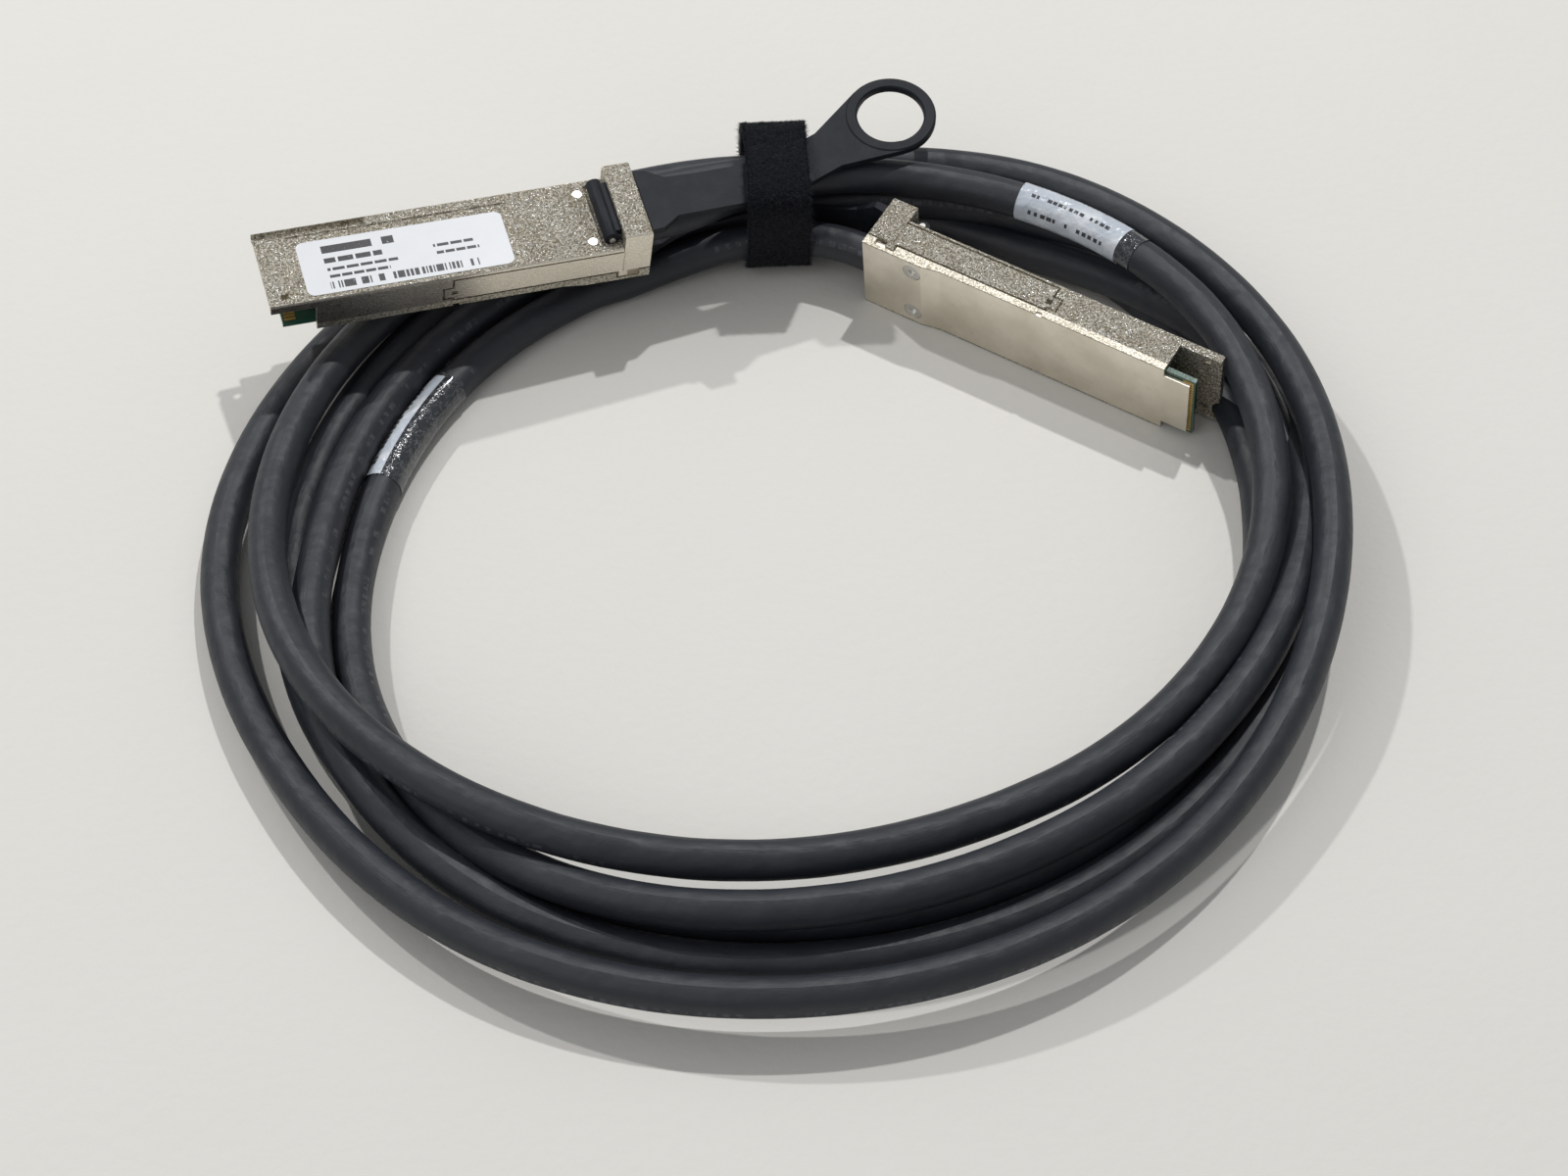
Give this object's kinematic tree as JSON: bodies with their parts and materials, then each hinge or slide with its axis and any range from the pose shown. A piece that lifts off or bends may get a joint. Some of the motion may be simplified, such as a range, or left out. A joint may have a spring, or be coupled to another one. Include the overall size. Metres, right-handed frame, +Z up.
{
  "type": "direct attach copper cable",
  "caption": "Passive copper network cable with a pluggable metal connector on each end, pull-ring latches, and its length coiled and held by a strap.",
  "frame": {"origin": "on the floor, below the middle of the box round the two plugs", "axes": "+Z up from the floor, +X from the upper plug's side towards the other plug's nose, +Y towards the strap"},
  "size_m": [0.2097, 0.2062, 0.0295],
  "materials": {
    "cast_metal": "satin cast nickel plate",
    "spring_steel": "satin",
    "screw_steel": "satin",
    "board": "lacquered board",
    "gold_pads": "plated",
    "chip_black": "moulded",
    "copper_ferrule": "crimped",
    "wire_skin": "insulation",
    "label_film": "printed label",
    "tab_black": "soft moulding",
    "jacket_black": "matte jacket",
    "marker_film": "wrapped film",
    "strap_black": "hook and loop pile"
  },
  "bodies": {
    "cable": {"plug_a_upper_shell": "cast_metal", "plug_a_lower_shell": "cast_metal", "plug_a_return_springs": "spring_steel", "plug_a_shell_screws": "screw_steel", "plug_a_paddle_card": "board", "plug_a_contact_pads": "gold_pads", "plug_a_card_chips": "chip_black", "plug_a_crimp_ferrule": "copper_ferrule", "plug_a_wire_pairs": "wire_skin", "plug_a_label": "label_film", "plug_b_upper_shell": "cast_metal", "plug_b_lower_shell": "cast_metal", "plug_b_return_springs": "spring_steel", "plug_b_shell_screws": "screw_steel", "plug_b_paddle_card": "board", "plug_b_contact_pads": "gold_pads", "plug_b_card_chips": "chip_black", "plug_b_crimp_ferrule": "copper_ferrule", "plug_b_wire_pairs": "wire_skin", "plug_b_label": "label_film", "cable_coil": "jacket_black", "cable_lead_a": "jacket_black", "cable_lead_b": "jacket_black", "cable_marker_a": "marker_film", "cable_marker_b": "marker_film", "cable_strap": "strap_black"},
    "latch_a": {"plug_a_latch_yoke": "cast_metal", "plug_a_pull_tab": "tab_black", "plug_a_tab_pin": "screw_steel"},
    "latch_b": {"plug_b_latch_yoke": "cast_metal", "plug_b_pull_tab": "tab_black", "plug_b_tab_pin": "screw_steel"}
  },
  "joints": [
    {"name": "latch_a_pull", "type": "slide", "parent": "cable", "child": "latch_a", "axis": [0.9482, 0.3099, -0.0698], "range_m": [0, 0.0022], "stiffness_N_per_m": 450, "springref_m": -0.002, "deforming": ["plug_a_return_springs"]},
    {"name": "latch_b_pull", "type": "slide", "parent": "cable", "child": "latch_b", "axis": [-0.8572, 0.515, 0], "range_m": [0, 0.0022], "stiffness_N_per_m": 450, "springref_m": -0.002, "deforming": ["plug_b_return_springs"]}
  ]
}
